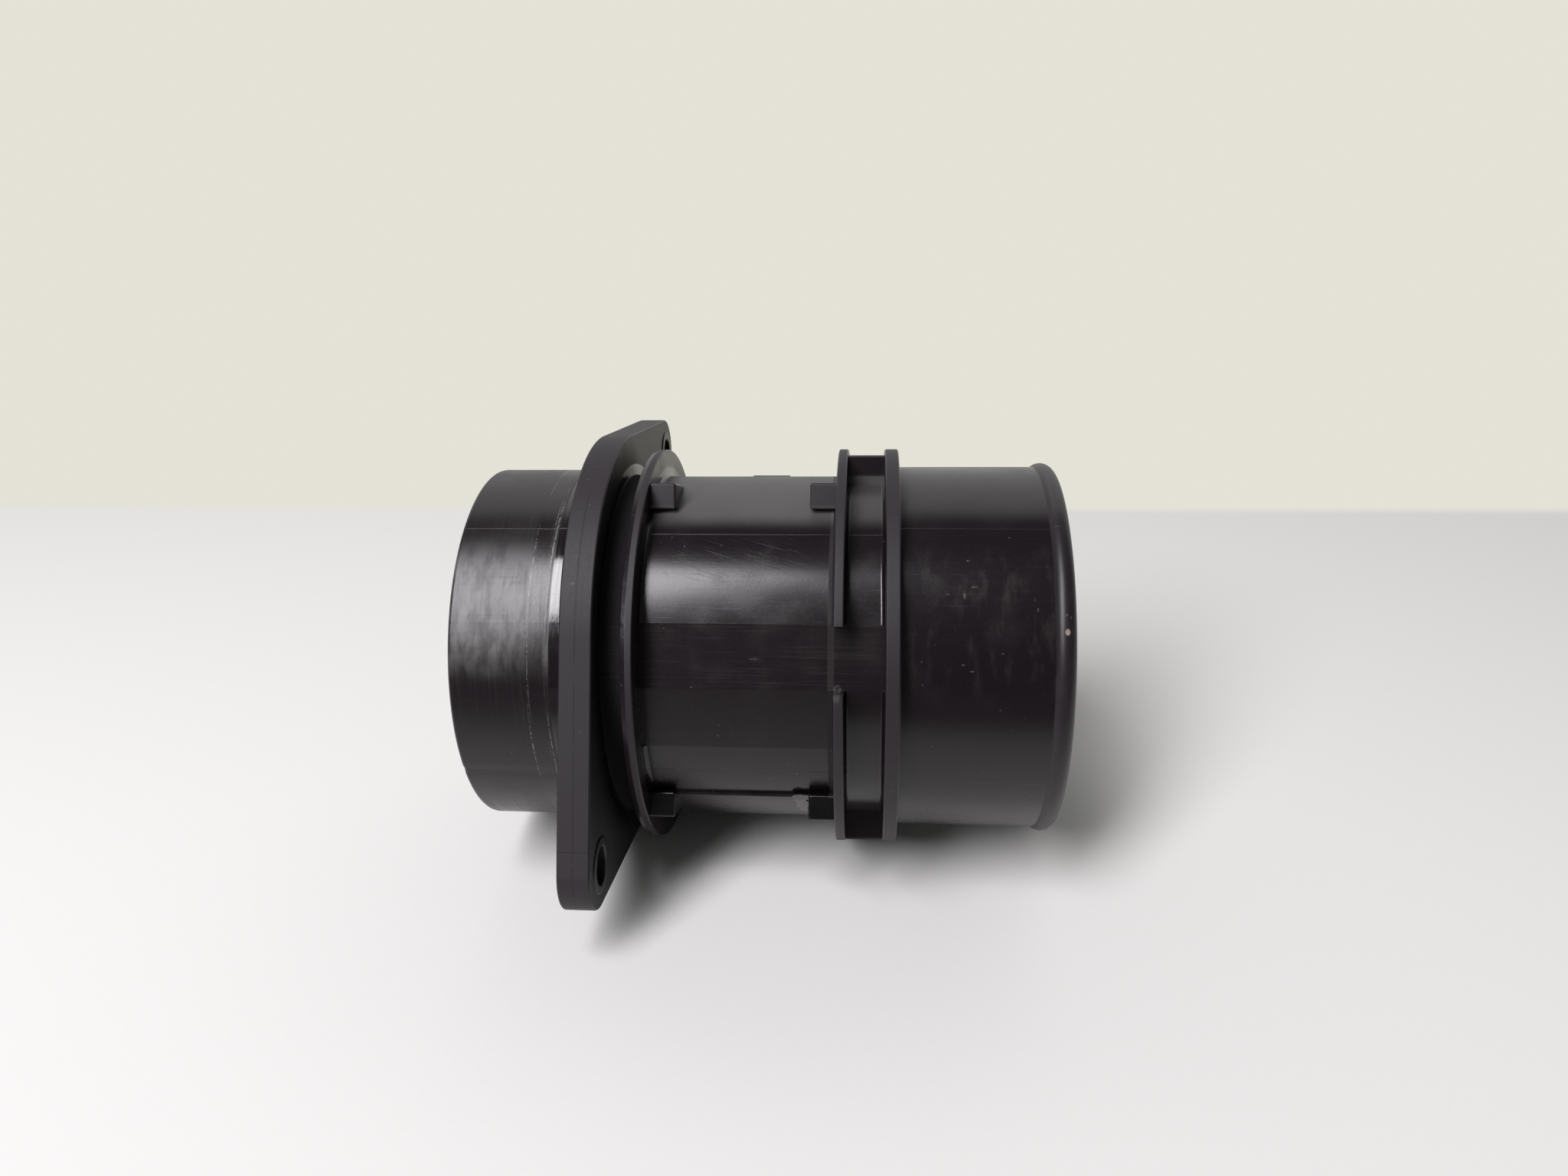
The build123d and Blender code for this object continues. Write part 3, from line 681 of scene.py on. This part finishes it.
chip = duct_plastic.spot(skin, chip_middle, (0.50, 0.65, 8)) * grain.rise(0.2, 0.45)
scrap_zone = radius.rise(scrap_radius - 0.13, scrap_radius - 0.09) * radius.fall(37.1, 37.2)
scrap_zone = scrap_zone * degrees.between(49.0, 68.5, 0.1) * along.between(41.2, 45.4, 0.05)

pad = (-out).maths("ABSOLUTE").rise(35.2, 35.35)
pad = pad * degrees.between(-10, 10, 0.5) * radius.fall(36.3, 36.5)
gloss = 0.17 + grain * 0.10 + cloud.rise(0.45, 0.75) * 0.08
gloss = gloss + lengthwise.rise(0.55, 0.8) * 0.10 + pad * 0.04
gloss = gloss + spigot * (0.10 + rubbed * 0.10) - band * 0.06 - land * 0.22 + scratched * 0.22
gloss = gloss + ring_side * 0.12 + hazy * 0.05 + film * 0.25 + bore * 0.10 + marked * 0.3
gloss = gloss + neck * 0.8 + root * 0.45
gloss = gloss + flange_face * 0.28
roughness = gloss * (1 - satin) + satin * (0.48 + grain * 0.14 + round_about * 0.06)
black = duct_plastic.mix(satin, (0.0096, 0.0056, 0.0077), (0.0242, 0.0186, 0.0231))
# Painted shade: the neck between the flange and the front ring, and the flange's faces, take a
# darker black.
shaded = (neck + flange_face).maths("MINIMUM", 1.0)
black = duct_plastic.mix(shaded, black, (0.0075, 0.0060, 0.0072))
# Painted shade: the lower lugs' fronts are made nearly black.
black = duct_plastic.mix(lug_fronts * up.fall(-1, 0), black, (0.0030, 0.0026, 0.0028))
black = duct_plastic.mix(witness * 0.7, black, (0.006, 0.006, 0.007))
# Partly painted highlight: a pale rubbed haze on the spigot lies over the band where the soft box's
# highlight falls, so it lightens that band as well as showing the rubbing.
abraded_and_highlight = spigot * degrees.between(-30, 3, 7) * (0.35 + wiped.rise(0.38, 0.58) * 0.65)
abraded_and_highlight = abraded_and_highlight * (1 - land) * (1 - band * 0.5)
abraded_and_highlight = abraded_and_highlight * (0.65 + cloud.rise(0.35, 0.65) * 0.5)
worn = film * 0.36 + scratched * 0.22 + scuffs * 0.8 + hazy * 0.04 + rubbed * 0.03 + abraded_and_highlight * 0.52
worn = worn + cloud.rise(0.5, 0.9) * 0.02 + pad * lengthwise.rise(0.5, 0.75) * 0.05
dusty = duct_plastic.mix((worn + marked).maths("MINIMUM", 1.0), black, (0.245, 0.24, 0.235))
dusty = duct_plastic.mix(chip * 0.8, dusty, (0.50, 0.38, 0.31))
torn = duct_plastic.mix(grain, (0.03, 0.029, 0.027), (0.12, 0.118, 0.11))
dusty = duct_plastic.mix(scrap_zone, dusty, torn)
height = grain * 0.35 + lengthwise * 0.25 * (1 - rim) + round_about * spigot * 0.5
height = height + marked * 1.5 - witness * 0.9
duct_plastic.set(Base_Color=dusty, Roughness=roughness, Normal=duct_plastic.bump(height, 0.02))
polish = land * (0.25 + round_about.rise(0.3, 0.7) * 0.45)
duct_plastic.set(IOR=1.5, Coat_Weight=polish, Coat_Roughness=0.08)
duct.data.materials.append(duct_plastic.material)


# ---------------------------------------------------------------- flange bushes
# Two turned steel compression bushes, blacked, pressed into the ears. They stand a little proud
# of the flange's back, so that the bolts clamp on steel and not on the nylon.
bolt_radius = 3.6
bush_proud = 0.3
bushes = [
    spun(
        rounded(
            [
                (0, bolt_radius, 0.35),
                (0, bush_radius, 0.25),
                (flange_back + bush_proud, bush_radius, 0.3),
                (flange_back + bush_proud, bolt_radius, 0.45),
            ]
        ),
        64,
        ear,
    )
    for ear in ears
]
bush_pieces = finished("compression_bushes", bushes, ["flange_bushes"])


def worked(name, dark, light, roughness, coarse=0.9, fine=3.2, relief=0.01, **settings):
    """A finish that wanders between two colours, with a fine grain in gloss and relief."""
    finish = Finish(name)
    place = finish.local()[3]
    drift = finish.noise(place, coarse, 3.0, 0.55)
    grain = finish.noise(place, fine, 3.0, 0.65)
    finish.set(
        Base_Color=finish.mix(drift * 0.6 + grain * 0.4, dark, light),
        Roughness=roughness[0] + (drift * 0.5 + grain * 0.5) * (roughness[1] - roughness[0]),
        Normal=finish.bump(grain, relief),
        **settings,
    )
    return finish


bush_steel = worked(
    "bush_steel", (0.020, 0.019, 0.020), (0.075, 0.070, 0.068), (0.28, 0.55), Metallic=0.7,
)
bush_pieces.data.materials.append(bush_steel.material)


def coated(finish, *nodes):
    """Gives moulded or pressed nodes their finish."""
    for node in nodes:
        frame["nodes"][node].data.materials.clear()
        frame["nodes"][node].data.materials.append(finish.material)


def eased(name, node, finish, width, steps=2):
    """A node's own shape with its sharp edges eased, as a moulding or pressing leaves them."""
    shell = bmesh.new()
    shell.from_mesh(frame["nodes"][node].data)
    bmesh.ops.remove_doubles(shell, verts=shell.verts, dist=0.00002)
    bmesh.ops.dissolve_limit(shell, angle_limit=0.01, verts=shell.verts, edges=shell.edges)
    bmesh.ops.recalc_face_normals(shell, faces=shell.faces)
    sharp = [edge for edge in shell.edges if edge.calc_face_angle(0) > math.radians(50)]
    bmesh.ops.bevel(
        shell,
        geom=sharp,
        offset=width * mm,
        segments=steps,
        profile=0.5,
        affect="EDGES",
        material=-1,
        clamp_overlap=True,
    )
    bmesh.ops.scale(shell, vec=(1000, 1000, 1000), verts=shell.verts)
    bmesh.ops.rotate(shell, cent=(0, 0, 0), matrix=lean_turn.inverted(), verts=shell.verts)
    piece = finished(name, [shell], [node])
    piece.data.materials.append(finish.material)
    return piece


# ---------------------------------------------------------------- flow screen and inlet grid
# A moulded grid straightens the air, and a woven stainless screen in its own ring evens it out.
# Both drop into the spigot's counterbore and are held by a pressed spring-steel ring.
screen_thickness = 2.0
insert_radius = 34.8
screen_bore = 33.3
screen_ring = spun(
    rounded(
        [
            (seat_end - screen_thickness, screen_bore, 0.25),
            (seat_end - screen_thickness, insert_radius, 0.3),
            (seat_end, insert_radius, 0.3),
            (seat_end, screen_bore, 0.25),
        ]
    ),
    144,
)
screen_frame = worked("screen_frame", (0.014, 0.013, 0.014), (0.035, 0.033, 0.034), (0.35, 0.55))
ring_piece = finished("screen_ring_moulding", [screen_ring], ["screen_ring"])
ring_piece.data.materials.append(screen_frame.material)

wire_radius = 0.175
wire_pitch = 4.4
wires_each_way = 7
screen_wire = worked(
    "screen_wire", (0.42, 0.41, 0.40), (0.62, 0.61, 0.60), (0.22, 0.40), fine=9, Metallic=1.0,
)
for name, node, sway, swap in (
    ("woven_weft", "screen_weft_wires", 1, False),
    ("woven_warp", "screen_warp_wires", -1, True),
):
    strands = bpy.data.curves.new(name, "CURVE")
    strands.dimensions = "3D"
    strands.bevel_depth = wire_radius * mm
    strands.bevel_resolution = 2
    strands.resolution_u = 4
    strands.use_fill_caps = True
    rows = range(-wires_each_way, wires_each_way + 1)
    for row in rows:
        offset = row * wire_pitch
        half = math.sqrt((screen_bore + 0.5) ** 2 - offset**2)
        crossings = [c * wire_pitch for c in rows if abs(c * wire_pitch) < half]
        strand = strands.splines.new("NURBS")
        stops = [-half, *crossings, half]
        strand.points.add(len(stops) - 1)
        for point, stop in zip(strand.points, stops):
            crossing = round(stop / wire_pitch)
            over = sway * 2 * wire_radius * (-1) ** (row + crossing) if abs(stop) < half else 0
            cross = (stop, offset) if not swap else (offset, stop)
            layer = seat_end - screen_thickness / 2 + over
            at = lean_turn @ Vector((layer * mm, cross[0] * mm, cross[1] * mm))
            point.co = (*at, 1)
        strand.order_u = 3
        strand.use_endpoint_u = True
    weave = bpy.data.objects.new(name, strands)
    bpy.context.scene.collection.objects.link(weave)
    strands.materials.append(screen_wire.material)
    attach(weave, "root")
    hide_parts(node)

grid_plastic = worked("grid_plastic", (0.010, 0.009, 0.010), (0.024, 0.022, 0.024), (0.28, 0.45))
eased("air_straightener", "inlet_grid", grid_plastic, 0.16)

retainer_steel = worked(
    "retainer_steel", (0.32, 0.31, 0.30), (0.50, 0.49, 0.47), (0.24, 0.42), Metallic=1.0,
)
retainer_end = seat_end - screen_thickness - 8.0
retainer = spun(
    rounded(
        [
            (retainer_end - 1.6, seat_radius - 2.2, 0.35),
            (retainer_end - 1.6, seat_radius, 0.3),
            (retainer_end, seat_radius, 0.2),
            (retainer_end, seat_radius - 2.2, 0.35),
        ]
    ),
    144,
)
retainer_piece = finished("spring_retainer", [retainer], ["grid_retainer"])
retainer_piece.data.materials.append(retainer_steel.material)


# ---------------------------------------------------------------- sensor housing
# The module's housing is moulded round its pins in a stiffer polyester: a block with the plug's
# socket at one side and the probe below. Spark erosion of the tool leaves it finely frosted.
housing_plastic = Finish("housing_plastic")
housing_place = housing_plastic.local()[3]
frost = housing_plastic.noise(housing_place, 4.2, 2.0, 0.7)
flow = housing_plastic.noise(housing_place, 0.12, 3.0, 0.5, 0.6)
motes, mote_pick = housing_plastic.cells(housing_place, 0.5)
mote = motes.fall(0.05, 0.09) * mote_pick.rise(0.75, 0.76)
handled = flow.rise(0.5, 0.75)
housing_plastic.set(
    Base_Color=housing_plastic.mix(
        mote * 0.4 + handled * 0.05 + frost * 0.05, (0.016, 0.015, 0.016), (0.20, 0.195, 0.19)
    ),
    Roughness=0.38 + frost * 0.16 - handled * 0.10,
    Normal=housing_plastic.bump(frost + mote * 2, 0.035),
)
eased("sensor_housing_moulding", "sensor_housing", housing_plastic, 0.22)

# ---------------------------------------------------------------- covers, vent, seal and screws
# A bonded cover closes the chamber and a small one the air channel in the probe. The vent is a
# porous disc, the seal a moulded ring, and four hexagon-socket screws hold the housing down.
cover_plastic = worked(
    "cover_plastic", (0.013, 0.012, 0.013), (0.034, 0.032, 0.033), (0.30, 0.50), 0.25, 3.6, 0.02,
)
eased("chamber_cover", "housing_cover", cover_plastic, 0.2)
eased("air_channel_cover", "probe_duct_cover", cover_plastic, 0.12)

vent_membrane = worked(
    "vent_membrane", (0.55, 0.55, 0.53), (0.78, 0.77, 0.74), (0.7, 0.9), 1.2, 6.0, 0.03,
)
eased("vent_disc", "vent_plug", vent_membrane, 0.15)

seal_rubber = worked(
    "seal_rubber", (0.012, 0.012, 0.012), (0.030, 0.030, 0.029), (0.55, 0.75), 0.6, 5.0, 0.02,
)
coated(seal_rubber, "housing_seal")

screw_steel = worked(
    "screw_steel", (0.38, 0.37, 0.35), (0.60, 0.59, 0.56), (0.22, 0.42), 0.5, 6.0, Metallic=1.0,
)
eased("housing_screws", "sensor_screws", screw_steel, 0.12)


# ---------------------------------------------------------------- connector pins and straps
# Five blade pins of tinned bronze are moulded into the housing, and bent straps carry each one
# down to its pad on the board.
pin_metal = worked(
    "pin_metal", (0.58, 0.56, 0.50), (0.80, 0.78, 0.72), (0.18, 0.34), 0.8, 7.0, Metallic=1.0,
)
eased("blade_pins", "connector_pins", pin_metal, 0.06)
coated(pin_metal, "pin_straps")


# ---------------------------------------------------------------- circuit board
# A small glass-epoxy board under green resist, with a signal chip, a regulator and rows of chip
# capacitors and resistors soldered on it. It lies on the floor of the chamber.
board_laminate = Finish("board_laminate")
board_along, _, board_up, board_place = board_laminate.local()
tracks = board_laminate.node(
    "TexBrick",
    {"offset": 0.37, "squash": 1.0},
    {
        "Vector": board_laminate.vector(board_along, board_up, 0),
        "Scale": 1.0,
        "Mortar Size": 0.16,
        "Mortar Smooth": 0.1,
        "Brick Width": 4.2,
        "Row Height": 1.3,
    },
    "Fac",
)
resist = board_laminate.noise(board_place, 2.0, 2.0)
board_laminate.set(
    Base_Color=board_laminate.mix(
        tracks * 0.7 + resist * 0.2, (0.010, 0.075, 0.030), (0.035, 0.19, 0.075)
    ),
    Roughness=0.28 + resist * 0.16,
    Normal=board_laminate.bump(tracks, 0.03),
)
coated(board_laminate, "circuit_board")

chip_resin = worked(
    "chip_resin", (0.014, 0.014, 0.015), (0.040, 0.040, 0.041), (0.45, 0.65), 0.6, 5.0, 0.02,
)
coated(chip_resin, "signal_chip", "supply_regulator")


def capped(name, body, length_axis, node_names):
    """A ceramic chip part: its body between two tinned ends."""
    finish = Finish(name)
    along, _, up, place = finish.local()
    grain = finish.noise(place, 5.0, 2.0)
    spread = {"x": along, "up": up}[length_axis[0]] - length_axis[1]
    phase = (spread / length_axis[2]).maths("FRACT") - 0.5
    ends = (phase.maths("ABSOLUTE") * length_axis[2]).rise(length_axis[3], length_axis[3] + 0.06)
    finish.set(
        Base_Color=finish.mix(ends, finish.mix(grain, body[0], body[1]), (0.62, 0.61, 0.58)),
        Roughness=0.55 - ends * 0.25 + grain * 0.1,
        Metallic=ends * 0.9,
        Normal=finish.bump(grain, 0.01),
    )
    coated(finish, *node_names)


capped(
    "capacitor_ceramic",
    ((0.30, 0.21, 0.13), (0.40, 0.29, 0.19)),
    ("x", module_middle + 11.5 - 10, 20.0, 0.62),
    ["board_capacitors"],
)
capped(
    "resistor_ceramic",
    ((0.016, 0.016, 0.018), (0.035, 0.035, 0.037)),
    ("up", 4.6 - 10, 20.0, 0.5),
    ["board_resistors"],
)


# ---------------------------------------------------------------- hot-film element and thermistor
# The alumina carrier stands in a slot of the board with the glazed film chip on its end. In the
# notch of the probe a glass bead thermistor hangs on two fine leads.
carrier_ceramic = worked(
    "carrier_ceramic", (0.66, 0.65, 0.62), (0.82, 0.81, 0.78), (0.45, 0.65), 0.8, 6.0,
)
coated(carrier_ceramic, "sensor_carrier")

film_glass = Finish("film_glass")
film_place = film_glass.local()[3]
meander = film_glass.node(
    "TexWave", {"bands_direction": "X"}, {"Vector": film_place, "Scale": 1.1}, "Fac"
)
film_glass.set(
    Base_Color=film_glass.mix(meander.rise(0.45, 0.55), (0.05, 0.09, 0.12), (0.45, 0.43, 0.40)),
    Roughness=0.10 + meander * 0.12,
    Normal=film_glass.bump(meander, 0.01),
)
coated(film_glass, "hot_film_chip")

bead_glass = worked("bead_glass", (0.03, 0.025, 0.02), (0.09, 0.07, 0.05), (0.06, 0.18), 1.5, 6.0)
coated(bead_glass, "thermistor_bead")
lead_wire = worked(
    "lead_wire", (0.50, 0.49, 0.46), (0.70, 0.69, 0.65), (0.22, 0.40), 1.0, 8.0, Metallic=1.0,
)
coated(lead_wire, "thermistor_leads")


# ---------------------------------------------------------------- studio
# A pale floor that runs on to a pale wall, under one tall soft box on the viewer's side, and a
# plain grey surround.
floor_height = cad_box[0][2]
floor_mesh = bpy.data.meshes.new("floor")
sheet = bmesh.new()
bmesh.ops.create_grid(sheet, x_segments=1, y_segments=1, size=40)
bmesh.ops.translate(sheet, vec=(0, 0, floor_height), verts=sheet.verts)
sheet.to_mesh(floor_mesh)
sheet.free()
floor = bpy.data.objects.new("floor", floor_mesh)
bpy.context.scene.collection.objects.link(floor)

wall_tone = (0.78, 0.76, 0.68)
table = Finish("table")
spot = table.node("TexCoord", {}, [], "Object")
back = table.node("SeparateXYZ", {}, [spot], "Y")
weave = table.noise(spot, 900, 2.0)
direct = table.node("LightPath", {}, {}, "Is Camera Ray")
# Painted shade: in reflections, though not to the camera, the floor in front of the part turns dark
# grey.
unlit = back.fall(-0.19, -0.05) * (1 - direct)
paper = table.mix(weave * 0.25, (0.96, 0.955, 0.925), (0.88, 0.875, 0.845))
table.set(
    Base_Color=table.mix(unlit, paper, (0.10, 0.10, 0.10)),
    Roughness=0.75 + weave * 0.1,
)
far = back.rise(0.183, 0.193)
glow = table.node("Emission", {}, {"Color": (*wall_tone, 1.0), "Strength": 1.0})
surface = table.node(
    "MixShader", {}, {"Fac": far, 1: Value(table, table.shader.outputs[0]), 2: glow}
)
table.tree.links.new(surface.socket, table.tree.nodes["Material Output"].inputs["Surface"])
floor_mesh.materials.append(table.material)

world = bpy.data.worlds.new("surround")
world.use_nodes = True
bpy.context.scene.world = world
sky = world.node_tree
direction = sky.nodes.new("ShaderNodeTexCoord")
split = sky.nodes.new("ShaderNodeSeparateXYZ")
sky.links.new(direction.outputs["Generated"], split.inputs[0])
pale = sky.nodes.new("ShaderNodeMapRange")
pale.interpolation_type = "SMOOTHSTEP"
sky.links.new(split.outputs["Y"], pale.inputs["Value"])
for name, value in (("From Min", 0.30), ("From Max", 0.62), ("To Min", 0.10), ("To Max", 0.70)):
    pale.inputs[name].default_value = value
seen = sky.nodes.new("ShaderNodeLightPath")
blend = sky.nodes.new("ShaderNodeMix")
blend.data_type = "RGBA"
sky.links.new(seen.outputs["Is Camera Ray"], blend.inputs["Factor"])
sky.links.new(pale.outputs[0], blend.inputs[6])
blend.inputs[7].default_value = (*wall_tone, 1.0)
sky.links.new(blend.outputs[2], sky.nodes["Background"].inputs["Color"])


def area_light(name, size, watts, distance, elevation, aside, toward=(0.03, 0, 0)):
    """A soft box: elevation over the viewer's horizon, aside towards the hose end, in degrees."""
    lamp = bpy.data.lights.new(name, "AREA")
    lamp.shape = "RECTANGLE"
    lamp.size, lamp.size_y = size
    lamp.energy = watts
    lamp.color = (1.0, 0.985, 1.02)
    high, side = math.radians(elevation), math.radians(aside)
    reach = Vector(
        (math.sin(side), -math.cos(side) * math.cos(high), math.cos(side) * math.sin(high))
    )
    stand = bpy.data.objects.new(name, lamp)
    stand.location = Vector(toward) + reach * distance
    stand.rotation_mode = "QUATERNION"
    stand.rotation_quaternion = reach.to_track_quat("Z", "Y")
    bpy.context.scene.collection.objects.link(stand)


area_light("soft_box", (0.375, 1.02), 14.6, 1.2, 55.5, -21)


# ---------------------------------------------------------------- camera
lens = bpy.data.cameras.new("camera")
lens.lens = 25.49
lens.sensor_width = 36
lens.clip_start, lens.clip_end = 0.01, 100
camera = bpy.data.objects.new("camera", lens)
camera.location = (0.05680, -0.21348, 0.11351)
camera.rotation_euler = [math.radians(turned) for turned in (64.8775, 1.4767, 4.1570)]
bpy.context.scene.collection.objects.link(camera)
bpy.context.scene.camera = camera
bpy.context.scene.view_settings.view_transform = "Standard"

bpy.context.view_layer.update()
